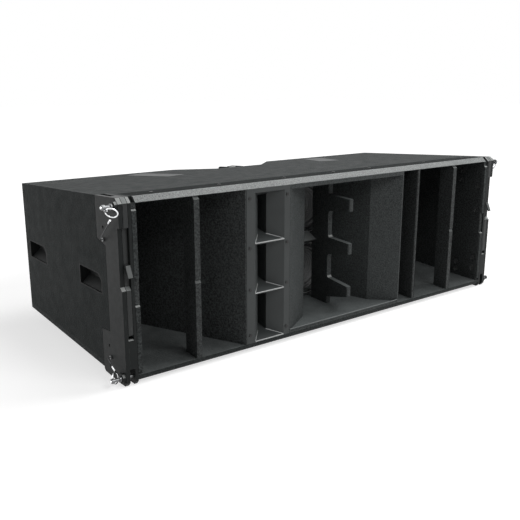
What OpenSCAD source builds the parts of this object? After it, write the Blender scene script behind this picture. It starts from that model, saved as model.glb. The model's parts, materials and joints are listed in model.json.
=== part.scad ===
// Line array loudspeaker cabinet with captive side rigging.
// X runs across the front, -Y is the front, Z is up. The origin is under the middle of the
// overall box, on the plane that the cabinet stands on. All sizes are in millimetres.

/* [Cabinet] */
// Width over the side rigging
cab_w = 1201; // [1195:2:1231]
// Depth from the front plane to the rear panel
cab_d = 516; // [508:2:540]
// Height of the front edge
front_h = 379.4; // [376:0.2:386]
// Height of the rear edge
rear_h = 319.4; // [314:0.2:330]
// Thickness of the plywood panels
panel_t = 12; // [11:0.5:13]
// Size of the bright 45 degree edge along the front of the top
edge_bevel = 11.3; // [8:0.1:12]
// How far the rigging plates and the rear foot reach below the front edge
foot_drop = 7.8; // [6:0.1:10]

/* [Rear notch] */
// Half width of the notch at the rear face
notch_rear = 168; // [160:1:180]
// Half width of the notch at its front
notch_front = 77; // [70:1:80]
// Distance from the front plane to the notch's front wall
notch_y = 428; // [420:1:432]

/* [Low frequency section] */
// Angle of each woofer baffle from the depth axis
baffle_angle = 30; // [28:0.5:30]
// Thickness of the woofer baffles
baffle_t = 18; // [15:1:18]
// Radius of the opening in front of each woofer
woofer_hole_r = 120; // [110:1:122]
// Outer radius of each woofer's frame
woofer_r = 150; // [145:1:151]

/* [Mid section] */
// Left edge of the mid horn's mouth
mid_left = -171.5; // [-171.5:0.5:-165]
// Right edge of the mid horn's mouth
mid_right = 208.5; // [200.5:1:208.5]
// Depth of the mid baffle behind the front plane
mid_baffle_y = 165; // [165:1:172]
// Radius of each opening in the mid baffle
mid_hole_r = 64; // [60:1:66]

/* [High frequency section] */
// Left edge of the high frequency horn's flange
hf_left = -296; // [-296:0.5:-292]
// Right edge of the high frequency horn's flange
hf_right = -172; // [-176:0.5:-172]
// Depth of the high frequency horn
hf_depth = 130; // [110:5:135]

/* [Rigging] */
// Travel of the front links
front_link_travel = 33.5; // [20:0.5:34]
// Travel of the rear link
rear_link_travel = 126.5; // [110:0.5:130]
// Radius of the quick-release pins
pin_r = 4; // [3.5:0.1:4.5]
// Radial clearance of a pin in its hole
pin_clearance = 0.08; // [0.05:0.01:0.1]

/* [Hidden] */

$fn = 48;
eps = 0.5;                                  // overrun of a cut past a face

// Colours
paint = [0.27, 0.28, 0.28];
rough_paint = [0.2, 0.21, 0.21];
edge_grey = [0.62, 0.65, 0.65];
horn_grey = [0.24, 0.25, 0.25];
steel = [0.8, 0.81, 0.82];
rubber = [0.12, 0.12, 0.12];
paper = [0.07, 0.07, 0.07];
board_green = [0.1, 0.3, 0.16];

// Cabinet frame: the local Y is 0 on the front plane and Z is 0 at mid height
tab_reach = 11;                             // the links' tabs stand this far before the front plane
frame_y = -(cab_d - tab_reach) / 2;
base_z = front_h / 2 + foot_drop;
slope = (front_h - rear_h) / 2 / cab_d;
half_w = cab_w / 2;

// Side rigging, as distances from the middle of the cabinet
outer_plate_t = 9;
link_gap = 1;
link_t = 10;
channel_plate_t = 6.5;
outer_plate_x = half_w - outer_plate_t;
link_x = outer_plate_x - link_gap;
channel_x = link_x - link_t - link_gap;
channel_in_x = channel_x - channel_plate_t;
wall_x = channel_in_x;                      // outer face of the side wall
wall_in_x = wall_x - panel_t;               // its inner face
wall_front_y = 4;
plate_y = 100;                              // depth of the rigging plates
waist_y = 63;                               // their depth at the waist
waist_top = 86;
waist_bottom = -94;
step_h = 11;                                // height of the sloping shoulders at the waist
recess_y = 7;                               // depth of the finger recess in the front edge
recess_bottom = 5;
recess_top = 131;
link_depth = 50;
link_bottom = -91;
block_top = -97.5;
block_bottom = -161;
block_chamfer = 2.5;
pad_chamfer = 3;
pin_y = 12;
upper_pin_z = 173;
lower_pin_z = -181;
web_y0 = 52;                                // rear web between the two rigging plates
web_y1 = 62;

// Quick-release pins, along their own axis from the outer plate's face
boss_h = 6;
boss_r = 11;
collar_r = 6.5;
collar_t = 4;
neck_r = 3.6;
neck_end = 22;
head_r = 5.5;
head_t = 5;
button_r = 2.6;
button_out = 3;
button_stem = 7;
eye_drop = 7;
eye_x = 22;                                 // the eye's distance from the plate
eye_r = 2.1;
eye_lug_r = 4;
ring_r = 12;
ring_wire = 1.5;
ring_lean = 35;                             // the ring leans back towards the plate
upper_turn = -45;                            // turn of the eye about the pin's axis
lower_turn = 82;

// Rear rigging
rear_plate_x = 16.5;
rear_plate_t = 8;
rear_plate_y0 = 440;
rear_plate_y1 = 505;
rear_back_t = 6;
rear_pin_y = 470;
rear_pin_z = -118;
rear_pin_r = 5;
rear_mount_z = 143;
rear_tongue_x = 10.5;                       // half width of the rear link's narrow top

// Interior parts
driver_y = 344;                             // depth of the woofers' centres
post_x = [417, 430.5];
post_depth = 44;
post_chamfer = 8;
post_notch = 3;                             // depth of the notch halfway up each post
post_notch_z = -1;
comb_x = [31.5, 45.5];
comb_round = 4;                             // rounding of the teeth's front edges
mid_x = 24.5;
mid_z = 84;
mid_baffle_x = [-93.5, 112];                // the mid baffle's ends
mid_floor_t = 6;                            // linings of the mid horn
mid_roof_t = 10;
hf_pitch = 115.5;
hf_middle = -3.5;                           // level of the middle cell
hf_mouth = [-272.5, -188.5];                // the cells' mouths in X
hf_throat = [-243, -218];                   // their throats
hf_neck_y = 30;                             // depth where the cells become narrow slots
lip_t = 10;                                 // thickness of the flange
port_wall_x = 212.5;
nose_x = [268.5, 277.5];
port_depth = 200;
strip_y = [15, 78];
strip_t = 2.5;
top_bar_half = wall_in_x + 2;
handle_spans = [[88, 200], [385, 495]];     // where the handles lie along the depth
handle_h = 44;
handle_depth = 25;
cup_wall = 2;
socket_x = [-420, -340];
socket_plate = [-470, -290];
socket_plate_h = 90;
socket_r = 16;
connector_t = 3;
plate_recess = 2;                           // the connector plate sits this far inside the rear face

// Fasteners, with their places on the side plates, the top, the horn and the connector plate
bolt_r = 4;
bolt_hole_r = 4.1;
bolt_head_r = 7;
bolt_head_h = 5;
bolt_sink = 6;                              // depth of the bolts' counterbores
bolt_sink_r = 8.5;
bolt_socket_r = 3.2;
screw_r = 1.8;
screw_hole_r = 1.9;
screw_head_r = 3.8;
screw_head_h = 1.6;
plate_hole_r = 3.2;
rig_bolt_places = [
  [19, 106], [19, 35], [19, -109], [19, -140], [76, 143], [76, 118], [76, -132], [76, -154]
];
plate_hole_places = [[70, 123], [70, -128], [70, -171]];
strip_screw_x = [-505, -338, -156, 0, 127, 338, 505];
strip_screw_y = 42;
horn_screw_places = [for (x = [-286.5, -180.5]) for (z = [-158, -50.5, 46, 157]) [x, z]];
plate_screw_places = [for (x = [-463, -297]) for (z = [-38, 38]) [x, z]];
lanyard_screw_places = [[70, 98], [64, -152]];
lanyard_head_r = 4.2;
lanyard_head_h = 2.6;
lanyard_shank_r = 2;

// Hand-placed points of the steel cables on the right-hand side, from the ring to the screw,
// with X measured from the plate's outer face
upper_lanyard = [
  [13, 9, 147.5], [11.5, 19, 140.5], [10, 31, 131.5], [9.5, 44, 120.5], [9.5, 56, 109.5], [8, 67.5, 99.5],
  [2.6, 70, 98]
];
lower_lanyard = [
  [9.5, 30.5, -168], [9.5, 36, -165.5], [9.5, 43, -162], [9, 50.5, -158.5], [8.5, 57.5, -155],
  [8, 62.5, -152.6], [2.6, 64, -152]
];
upper_across = [0, 1, 1];                   // a direction that no part of the cable runs along
lower_across = [0, -1, 1];
cable_r = 0.9;
cable_sides = 8;
cable_steps = 2;

function top_z(y) = front_h / 2 - slope * y;
// Where each woofer baffle's face meets the front plane, and the depth of the clearing in front of it
function baffle_x(side) = side < 0 ? 299.5 : 277.5;
function baffle_clear(side) = side < 0 ? [-hf_left + 1, lip_t + 1] : [nose_x[1] + 0.3, 45];
// A side outline between two depths, set in from the sloping top and bottom
function section(y0, y1, inset) = [
  [y0, -top_z(y0) + inset],
  [y1, -top_z(y1) + inset],
  [y1, top_z(y1) - inset],
  [y0, top_z(y0) - inset]
];
// Outline of the rear notch, grown outwards by g
function notch_plan(g) = [
  [-notch_rear - 1.414 * g - eps, cab_d + eps],
  [-notch_front - 0.414 * g, notch_y - g],
  [notch_front + 0.414 * g, notch_y - g],
  [notch_rear + 1.414 * g + eps, cab_d + eps]
];

module cabinet_frame() {
  translate([0, frame_y, base_z]) children();
}

// A Y-Z outline carried along X from x0 to x1
module side_prism(x0, x1) {
  translate([x0, 0, 0]) rotate([90, 0, 90]) linear_extrude(x1 - x0) children();
}

// An X-Y outline carried up from z0 to z1
module plan_prism(z0, z1) {
  translate([0, 0, z0]) linear_extrude(z1 - z0) children();
}

module cyl_x(r, x0, x1) {
  translate([x0, 0, 0]) rotate([0, 90, 0]) cylinder(r = r, h = x1 - x0);
}

module on_side(side) {
  if (side > 0) {
    children();
  } else {
    mirror([1, 0, 0]) children();
  }
}

// The space inside the panels
module interior() {
  side_prism(-wall_in_x, wall_in_x) polygon(section(-1, cab_d - panel_t, panel_t));
}

// ---- Cabinet ----

module deck() {
  difference() {
    side_prism(-half_w, half_w) polygon([
      [0, top_z(0) - panel_t],
      [cab_d, top_z(cab_d) - panel_t],
      [cab_d, top_z(cab_d)],
      [0, top_z(0)]
    ]);
    for (side = [-1, 1]) {
      on_side(side) translate([wall_x, -eps, 0]) cube([panel_t * 4, plate_y + 1 + eps, front_h]);
    }
    plan_prism(0, front_h) polygon(notch_plan(0));
  }
}

module top_panel() color(paint) cabinet_frame() {
  difference() {
    deck();
    translate([-half_w, -eps, 0]) cube([cab_w, strip_y[0] + eps, front_h]);
    grip_shape(strip_y[0] - 1, 5);
    for (x = strip_screw_x) {
      at_strip_screw(x) cylinder(r = screw_hole_r, h = panel_t * 3, center = true);
    }
  }
}

module bottom_panel() color(paint) cabinet_frame() {
  difference() {
    mirror([0, 0, 1]) deck();
    side_prism(-half_w, half_w) polygon([
      [-eps, -front_h / 2 - eps],
      [5, -front_h / 2 - eps],
      [-eps, -front_h / 2 + 5]
    ]);
  }
}

// Places children on the sloping top, with Z square to it
module at_strip_screw(x) {
  translate([x, strip_screw_y, top_z(strip_screw_y)]) rotate([-atan(slope), 0, 0]) children();
}

// The strip's shape, from the depth y0 and up to the given rise above the top
module grip_shape(y0, rise) {
  side_prism(-top_bar_half, top_bar_half) polygon([
    [y0, top_z(y0) - strip_t],
    [strip_y[1], top_z(strip_y[1]) - strip_t],
    [strip_y[1], top_z(strip_y[1]) + rise],
    [y0, top_z(y0) + rise]
  ]);
}

module top_grip_strip() color(rough_paint) cabinet_frame() {
  difference() {
    grip_shape(strip_y[0], 0);
    for (x = strip_screw_x) {
      at_strip_screw(x) cylinder(r = screw_hole_r, h = panel_t * 3, center = true);
    }
  }
}

module front_trim_bar() color(edge_grey) cabinet_frame() {
  side_prism(-top_bar_half, top_bar_half) polygon([
    [0, top_z(0) - panel_t],
    [strip_y[0], top_z(strip_y[0]) - panel_t],
    [strip_y[0], top_z(strip_y[0])],
    [edge_bevel, top_z(edge_bevel)],
    [0, top_z(0) - edge_bevel]
  ]);
}

module side_wall(side) color(rough_paint) cabinet_frame() on_side(side) {
  difference() {
    side_prism(wall_in_x, wall_x) polygon(section(wall_front_y, cab_d, panel_t));
    for (p = rig_bolt_places) {
      translate([0, p[0], p[1]]) {
        cyl_x(bolt_hole_r, wall_in_x - eps, wall_x + eps);
        cyl_x(bolt_sink_r, wall_in_x - eps, wall_in_x + bolt_sink);
      }
    }
  }
}

module side_cheek(side) color(paint) cabinet_frame() on_side(side) {
  difference() {
    side_prism(wall_x, half_w) polygon([
      [plate_y + 1, -top_z(plate_y + 1) + panel_t],
      [cab_d, -top_z(cab_d) + panel_t],
      [cab_d, top_z(cab_d) - panel_t],
      [plate_y + 1, top_z(plate_y + 1) - panel_t],
      [plate_y + 1, waist_top + step_h - 1],
      [waist_y + 1, waist_top - 1],
      [waist_y + 1, waist_bottom + 1],
      [plate_y + 1, waist_bottom - 3]
    ]);
    for (span = handle_spans) {
      side_prism(wall_x - eps, half_w + eps) handle_outline(span, 0.3);
    }
  }
}

// The handle's opening, with its upper front corner cut off
module handle_outline(span, grow) {
  polygon([
    [span[0] - grow, -handle_h / 2 - grow],
    [span[1] + grow, -handle_h / 2 - grow],
    [span[1] + grow, handle_h / 2 + grow],
    [span[0] + 14 - grow, handle_h / 2 + grow],
    [span[0] - grow, handle_h / 2 - 14 + grow]
  ]);
}

module handle_cups() color(rubber) cabinet_frame() {
  for (side = [-1, 1]) {
    for (span = handle_spans) {
      on_side(side) handle_cup(span);
    }
  }
}

// A cup with an inner floor that slopes down to the opening
module handle_cup(span) {
  inner = [span[0] + cup_wall, span[1] - cup_wall];
  difference() {
    side_prism(half_w - handle_depth, half_w) handle_outline(span, 0);
    side_prism(half_w - handle_depth + cup_wall, half_w + eps) handle_outline(inner, -cup_wall);
  }
  translate([0, inner[0], 0]) rotate([90, 0, 0]) mirror([0, 0, 1])
    linear_extrude(inner[1] - inner[0]) polygon([
      [half_w - handle_depth + 1, -handle_h / 2 + 1],
      [half_w - 3, -handle_h / 2 + 1],
      [half_w - handle_depth + 1, -2]
    ]);
}

module edge_pads() color(rough_paint) cabinet_frame() {
  for (side = [-1, 1]) {
    for (span = [[26, 165], [-171, -30]]) {
      on_side(side) side_prism(wall_in_x + 1, wall_x - 1) polygon([
        [0, span[0]],
        [wall_front_y, span[0]],
        [wall_front_y, span[1]],
        [pad_chamfer, span[1]],
        [0, span[1] - pad_chamfer]
      ]);
    }
  }
}

module rear_panel(side) color(paint) cabinet_frame() {
  difference() {
    intersection() {
      on_side(side) side_prism(notch_rear, wall_in_x) polygon(section(cab_d - panel_t, cab_d, panel_t));
      translate([-half_w, 0, -front_h]) cube([cab_w, cab_d, front_h * 2]);
    }
    plan_prism(-front_h, front_h) polygon(notch_plan(panel_t));
    if (side < 0) {
      socket_plate_cut(0, plate_recess + connector_t);
      socket_plate_cut(-8, panel_t + 1);
    }
  }
}

// A rectangular cut in the rear panel, grown by g and reaching depth d in from the rear face
module socket_plate_cut(g, d) {
  x0 = socket_plate[0] - g;
  x1 = socket_plate[1] + g;
  h = socket_plate_h + 2 * g;
  translate([x0, cab_d - d, -h / 2]) cube([x1 - x0, d + eps, h]);
}

module rear_notch_panel() color(paint) cabinet_frame() {
  difference() {
    intersection() {
      plan_prism(-front_h, front_h) polygon(notch_plan(panel_t));
      side_prism(-half_w, half_w) polygon(section(notch_y - panel_t, cab_d, panel_t));
    }
    plan_prism(-front_h, front_h) polygon(notch_plan(0));
  }
}

// ---- Low frequency section ----

// Places children at a woofer's centre on the baffle's rear face, with Z pointing into the cabinet
module at_woofer(side) {
  s = driver_y / cos(baffle_angle);
  front_x = baffle_x(side) + s * sin(baffle_angle);
  rear_x = front_x - baffle_t * cos(baffle_angle);
  on_side(side) translate([rear_x, driver_y + baffle_t * sin(baffle_angle), 0])
    rotate([0, -90, -baffle_angle]) children();
}

module woofer_baffle(side) color(rough_paint) cabinet_frame() {
  reach = 620;
  clear = baffle_clear(side);
  difference() {
    intersection() {
      interior();
      on_side(side) translate([baffle_x(side), 0, -front_h]) rotate([0, 0, -baffle_angle])
        translate([-baffle_t, -40, 0]) cube([baffle_t, reach, front_h * 2]);
      translate([-half_w, 0, -front_h]) cube([cab_w, cab_d, front_h * 2]);
    }
    at_woofer(side) cylinder(r = woofer_hole_r, h = 80, center = true);
    on_side(side) translate([200, -eps, -front_h]) cube([clear[0] - 200, clear[1], front_h * 2]);
  }
}

module woofer_chassis(side) color(rubber) cabinet_frame() at_woofer(side) {
  rotate_extrude() polygon([
    [woofer_hole_r, 0],
    [woofer_r, 0],
    [woofer_r, 5],
    [woofer_r - 12, 8],
    [62, 62],
    [62, 74],
    [72, 74],
    [72, 108],
    [20, 108],
    [20, 70],
    [52, 62],
    [52, 56],
    [woofer_hole_r, 5]
  ]);
}

module woofer_cones() color(paper) cabinet_frame() {
  for (side = [-1, 1]) {
    at_woofer(side) rotate_extrude() polygon([
      [0, 22],
      [30, 30],
      [30, 33],
      [woofer_hole_r - 22, 6],
      [woofer_hole_r - 18, 3],
      [woofer_hole_r - 14, 0],
      [woofer_hole_r - 8, 0],
      [woofer_hole_r - 1, 4],
      [woofer_hole_r - 3, 5],
      [woofer_hole_r - 10, 2],
      [woofer_hole_r - 16, 6],
      [40, 44],
      [40, 58],
      [38, 58],
      [38, 44],
      [0, 44]
    ]);
  }
}

module mouth_posts() color(rough_paint) cabinet_frame() {
  for (side = [-1, 1]) {
    intersection() {
      interior();
      on_side(side) side_prism(post_x[0], post_x[1]) polygon([
        [0, -front_h / 2],
        [post_depth, -front_h / 2],
        [post_depth, front_h / 2],
        [post_chamfer + panel_t, front_h / 2],
        [0, front_h / 2 - panel_t - post_chamfer],
        [0, post_notch_z],
        [post_notch, post_notch_z - 2],
        [0, post_notch_z - 2 - 2 * post_notch]
      ]);
    }
  }
}

module port_nose() color(rough_paint) cabinet_frame() {
  intersection() {
    interior();
    plan_prism(-front_h, front_h) polygon([
      [nose_x[0], 2],
      [nose_x[0] + 2, 0],
      [nose_x[1] - 2, 0],
      [nose_x[1], 2],
      [nose_x[1], port_depth],
      [nose_x[0], port_depth]
    ]);
  }
}

// ---- Mid section ----

// The height between the mid horn's floor and roof
module mid_space() {
  side_prism(-half_w, half_w) polygon([
    [-1, -top_z(-1) + panel_t + mid_floor_t],
    [cab_d, -top_z(cab_d) + panel_t + mid_floor_t],
    [cab_d, top_z(cab_d) - panel_t - mid_roof_t],
    [-1, top_z(-1) - panel_t - mid_roof_t]
  ]);
}

module mid_horn_left() color(horn_grey) cabinet_frame() {
  intersection() {
    mid_space();
    plan_prism(-front_h, front_h) polygon([
      [mid_left, 0],
      [-81.5, 53],
      [-81.5, mid_baffle_y],
      [mid_baffle_x[0], mid_baffle_y],
      [mid_baffle_x[0], 60],
      [mid_left, 14]
    ]);
  }
}

module mid_horn_right() color(horn_grey) cabinet_frame() {
  intersection() {
    mid_space();
    plan_prism(-front_h, front_h) polygon([
      [mid_right, 0],
      [146.5, 53],
      [100, mid_baffle_y],
      [mid_baffle_x[1], mid_baffle_y],
      [157, 62],
      [205.5, 18],
      [205.5, port_depth],
      [port_wall_x, port_depth],
      [port_wall_x, 0]
    ]);
  }
}

module mid_horn_liners() color(horn_grey) cabinet_frame() {
  difference() {
    intersection() {
      interior();
      translate([mid_left, 0, -front_h]) cube([port_wall_x - mid_left, mid_baffle_y, front_h * 2]);
    }
    mid_space();
  }
}

module phase_comb() color(horn_grey) cabinet_frame() {
  spine_y = 89;
  tip_y = 13;
  back_y = mid_baffle_y - 16;
  gaps = [[90, 82.4, 12.4, 7.5], [-19.5, -31, -95.5, -105]];
  intersection() {
    mid_space();
    plan_prism(-front_h, front_h) polygon([
      [comb_x[0], tip_y + comb_round],
      [comb_x[0] + 0.3 * comb_round, tip_y + 0.3 * comb_round],
      [comb_x[0] + comb_round, tip_y],
      [comb_x[1] - comb_round, tip_y],
      [comb_x[1] - 0.3 * comb_round, tip_y + 0.3 * comb_round],
      [comb_x[1], tip_y + comb_round],
      [comb_x[1], back_y],
      [comb_x[0], back_y]
    ]);
    difference() {
      side_prism(comb_x[0], comb_x[1]) polygon([
        [spine_y, 190],
        [spine_y, 124],
        [tip_y, 120],
        [tip_y, -131],
        [spine_y, -147],
        [spine_y, -190],
        [back_y, -190],
        [back_y, 190]
      ]);
      for (g = gaps) {
        side_prism(comb_x[0] - 1, comb_x[1] + 1) comb_gap(tip_y - 1, spine_y, g);
      }
    }
  }
}

// A gap between two teeth, with round inner corners: levels run down from the upper tooth
module comb_gap(tip, spine, levels) {
  r = 9;
  polygon([
    [tip, levels[0]],
    [spine - r, levels[1]],
    [spine - r, levels[2]],
    [tip, levels[3]]
  ]);
  translate([spine - r - 1, levels[2] + r]) square([r + 1, levels[1] - levels[2] - 2 * r]);
  translate([spine - r, levels[1] - r]) circle(r = r);
  translate([spine - r, levels[2] + r]) circle(r = r);
}

module at_mid(k) {
  translate([mid_x, mid_baffle_y + panel_t, k * mid_z]) rotate([-90, 0, 0]) children();
}

module mid_baffle() color(rough_paint) cabinet_frame() {
  difference() {
    intersection() {
      mid_space();
      union() {
        translate([mid_baffle_x[0], mid_baffle_y, -front_h])
          cube([mid_baffle_x[1] - mid_baffle_x[0], panel_t, front_h * 2]);
        side_prism(mid_x - 45, comb_x[0] - 1) mid_wedge();
        side_prism(comb_x[1] + 1, mid_x + 45) mid_wedge();
      }
    }
    for (k = [-1, 1]) {
      at_mid(k) cylinder(r = mid_hole_r, h = 60, center = true);
    }
  }
}

// The splitter between the two mid drivers
module mid_wedge() {
  polygon([
    [mid_baffle_y - 34, 0],
    [mid_baffle_y, -18],
    [mid_baffle_y + 1, -18],
    [mid_baffle_y + 1, 18],
    [mid_baffle_y, 18]
  ]);
}

module mid_chassis() color(rubber) cabinet_frame() {
  for (k = [-1, 1]) {
    at_mid(k) rotate_extrude() polygon([
      [mid_hole_r, 0],
      [80, 0],
      [80, 4],
      [70, 7],
      [34, 40],
      [34, 46],
      [46, 46],
      [46, 72],
      [12, 72],
      [12, 44],
      [28, 40],
      [28, 36],
      [mid_hole_r, 4]
    ]);
  }
}

module mid_cones() color(paper) cabinet_frame() {
  for (k = [-1, 1]) {
    at_mid(k) rotate_extrude() polygon([
      [0, 10],
      [16, 14],
      [54, 2],
      [58, -1],
      [mid_hole_r - 1, 2],
      [mid_hole_r - 1, 4],
      [58, 1],
      [54, 4],
      [20, 18],
      [20, 34],
      [18, 34],
      [18, 20],
      [0, 16]
    ]);
  }
}

// ---- High frequency section ----

module hf_horn() color(horn_grey) cabinet_frame() {
  difference() {
    intersection() {
      interior();
      union() {
        translate([hf_left, 0, -front_h]) cube([hf_right - hf_left, lip_t, front_h * 2]);
        plan_prism(-front_h, front_h) polygon([
          [hf_mouth[0] - 6, lip_t - 1],
          [hf_throat[0] - 12, hf_neck_y + 6],
          [hf_throat[0] - 12, hf_depth],
          [hf_throat[1] + 12, hf_depth],
          [hf_throat[1] + 12, hf_neck_y + 6],
          [hf_mouth[1] + 6, lip_t - 1]
        ]);
      }
    }
    for (k = [-1, 0, 1]) {
      translate([0, 0, k * hf_pitch + hf_middle]) hf_cell();
    }
    for (p = horn_screw_places) {
      translate([p[0], 0, p[1]]) rotate([-90, 0, 0]) cylinder(r = screw_hole_r, h = 18, center = true);
    }
  }
}

// One horn cell: it closes in from the mouth to a narrow throat
module hf_cell() {
  half_h = hf_pitch / 2 - 1.5;
  intersection() {
    plan_prism(-half_h - 1, half_h + 1) polygon([
      [hf_mouth[0], -eps],
      [hf_mouth[0], 0],
      [hf_throat[0], hf_neck_y],
      [hf_throat[0], hf_depth + eps],
      [hf_throat[1], hf_depth + eps],
      [hf_throat[1], hf_neck_y],
      [hf_mouth[1], 0],
      [hf_mouth[1], -eps]
    ]);
    side_prism(hf_left, hf_right) polygon([
      [-eps, -half_h],
      [hf_neck_y, -half_h + 10],
      [hf_depth + eps, -20],
      [hf_depth + eps, 20],
      [hf_neck_y, half_h - 10],
      [-eps, half_h]
    ]);
  }
}

module hf_drivers() color(rubber) cabinet_frame() {
  throat_x = (hf_throat[0] + hf_throat[1]) / 2;
  for (k = [-1, 0, 1]) {
    translate([throat_x, hf_depth, k * hf_pitch + hf_middle]) rotate([-90, 0, 0])
      rotate_extrude() polygon([
        [0, 0],
        [34, 0],
        [34, 8],
        [24, 8],
        [24, 16],
        [41, 16],
        [44, 19],
        [44, 59],
        [39, 64],
        [26, 66],
        [0, 66]
      ]);
  }
}

// ---- Electronics and connectors ----

module crossover_board() color(board_green) cabinet_frame() {
  floor_z = -top_z(280) + panel_t;
  board_z = floor_z + 14;
  translate([-100, 285, board_z]) cube([200, 110, 2]);
  for (x = [-92, 92]) {
    for (y = [293, 387]) {
      translate([x, y, -top_z(y) + panel_t + 0.3]) cylinder(r = 4, h = board_z + top_z(y) - panel_t);
    }
  }
  for (x = [-60, 0, 60]) {
    translate([x, 318, board_z + 1]) difference() {
      cylinder(r = 22, h = 26);
      translate([0, 0, 2]) cylinder(r = 9, h = 26);
    }
    translate([x - 14, 352, board_z + 1]) cube([28, 32, 20]);
  }
}

module connector_plate() color(rough_paint) cabinet_frame() {
  difference() {
    translate([socket_plate[0], cab_d - plate_recess - connector_t, -socket_plate_h / 2])
      cube([socket_plate[1] - socket_plate[0], connector_t, socket_plate_h]);
    for (x = socket_x) {
      translate([x, cab_d, 0]) rotate([90, 0, 0]) cylinder(r = socket_r + 0.3, h = 10);
    }
    for (p = plate_screw_places) {
      translate([p[0], cab_d, p[1]]) rotate([90, 0, 0]) cylinder(r = screw_hole_r, h = 10);
    }
  }
}

// Round twist-lock sockets
module line_sockets() color(rubber) cabinet_frame() {
  for (x = socket_x) {
    translate([x, cab_d - 1, 0]) rotate([90, 0, 0]) difference() {
      cylinder(r = socket_r, h = 34);
      translate([0, 0, -1]) difference() {
        cylinder(r = socket_r - 3, h = 27);
        cylinder(r = 5, h = 28);
      }
    }
  }
}

// ---- Side rigging ----

function plate_bottom() = [
  [0, -190],
  [7, -base_z],
  [28, -base_z],
  [94, -base_z + 4.5],
  [plate_y, -base_z + 9.5]
];

// The waist in the plates' rear edge, and the top
function plate_back() = [
  [plate_y, waist_bottom - 4],
  [waist_y, waist_bottom],
  [waist_y, waist_top],
  [plate_y, waist_top + step_h],
  [plate_y, top_z(plate_y)],
  [edge_bevel, top_z(edge_bevel)]
];

module front_edge() {
  polygon(concat(plate_bottom(), plate_back(), [
    [0, top_z(0) - edge_bevel],
    [0, recess_top],
    [recess_y, recess_top],
    [recess_y, recess_bottom + recess_y],
    [0, recess_bottom]
  ]));
}

module rig_outer(side) color(paint) cabinet_frame() on_side(side) {
  difference() {
    union() {
      side_prism(outer_plate_x, half_w) front_edge();
      for (z = [upper_pin_z, lower_pin_z]) {
        translate([0, pin_y, z]) cyl_x(boss_r, half_w - 1, half_w + boss_h);
      }
    }
    for (z = [upper_pin_z, lower_pin_z]) {
      translate([0, pin_y, z]) cyl_x(pin_r + pin_clearance, outer_plate_x - eps, half_w + boss_h + eps);
    }
    for (p = plate_hole_places) {
      translate([0, p[0], p[1]]) cyl_x(plate_hole_r, outer_plate_x - eps, half_w + eps);
    }
    for (p = lanyard_screw_places) {
      translate([0, p[0], p[1]]) cyl_x(lanyard_shank_r + 0.1, half_w - 7, half_w + eps);
    }
  }
}

// Inner plate, with the rear web and the lower guide block welded to it
module rig_channel(side) color(paint) cabinet_frame() on_side(side) {
  difference() {
    union() {
      side_prism(channel_in_x, channel_x) polygon(concat(plate_bottom(), plate_back(), [
        [0, top_z(0) - edge_bevel]
      ]));
      side_prism(channel_x - eps, outer_plate_x) polygon([
        [web_y0, -170],
        [web_y1, -170],
        [web_y1, 176],
        [web_y0, 176]
      ]);
      side_prism(channel_x - eps, outer_plate_x) polygon([
        [0, block_bottom],
        [web_y0 + eps, block_bottom],
        [web_y0 + eps, block_top],
        [block_chamfer, block_top],
        [0, block_top - block_chamfer]
      ]);
    }
    for (z = [upper_pin_z, lower_pin_z]) {
      translate([0, pin_y, z]) cyl_x(pin_r + pin_clearance, channel_in_x - eps, channel_x + eps);
    }
    for (p = rig_bolt_places) {
      translate([0, p[0], p[1]]) cyl_x(bolt_hole_r, channel_in_x - eps, channel_x - 2);
    }
  }
}

// The captive link slides up between the two rigging plates; its slot runs over the upper pin
module front_link(side) color(paint) cabinet_frame() on_side(side) {
  slot_r = pin_r + 0.4;
  difference() {
    union() {
      side_prism(link_x - link_t, link_x) polygon([
        [0, link_bottom + 3],
        [3, link_bottom],
        [link_depth, link_bottom],
        [link_depth, top_z(link_depth)],
        [edge_bevel, top_z(edge_bevel)],
        [0, top_z(0) - edge_bevel],
        [0, recess_top],
        [recess_y, recess_top],
        [recess_y, recess_bottom + recess_y],
        [0, recess_bottom]
      ]);
      side_prism(link_x - link_t, link_x) polygon([
        [recess_y + 1, 57],
        [-0.5, 56],
        [-tab_reach, 33],
        [-tab_reach + 2.5, 31.5],
        [1.5, 51],
        [recess_y + 1, 51]
      ]);
    }
    for (z = [upper_pin_z - front_link_travel, upper_pin_z]) {
      translate([0, pin_y, z]) cyl_x(slot_r, link_x - link_t - eps, link_x + eps);
    }
    translate([link_x - link_t - eps, pin_y - slot_r, upper_pin_z - front_link_travel])
      cube([link_t + 2 * eps, 2 * slot_r, front_link_travel]);
  }
}

// ---- Quick-release pins ----

// Places children at a pin's hole on the plate's outer face: X points out of the cabinet
module at_pin(side, z, turn) {
  on_side(side) translate([half_w, pin_y, z]) rotate([turn, 0, 0]) children();
}

module quick_pin(side, z, turn) color(steel) cabinet_frame() at_pin(side, z, turn) {
  tip = channel_in_x - half_w + 0.2;
  difference() {
    union() {
      cyl_x(pin_r, tip, boss_h + 1);
      cyl_x(collar_r, boss_h + 0.3, boss_h + 0.3 + collar_t);
      cyl_x(neck_r, boss_h + 1, neck_end + 1);
      cyl_x(head_r, neck_end, neck_end + head_t);
      translate([eye_x, 0, -eye_drop]) rotate([90, 0, 0]) cylinder(r = eye_lug_r, h = 3, center = true);
      translate([eye_x - 2, -1.5, -eye_drop]) cube([4, 3, eye_drop - 3]);
    }
    translate([eye_x, 0, -eye_drop]) rotate([90, 0, 0]) cylinder(r = eye_r, h = 10, center = true);
    cyl_x(button_r + 0.1, neck_end - button_stem, neck_end + head_t + eps);
  }
}

module pin_button(side, z, turn) color(steel) cabinet_frame() at_pin(side, z, turn) {
  cyl_x(button_r, neck_end - button_stem + button_out + 0.3, neck_end + head_t + button_out);
}

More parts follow.
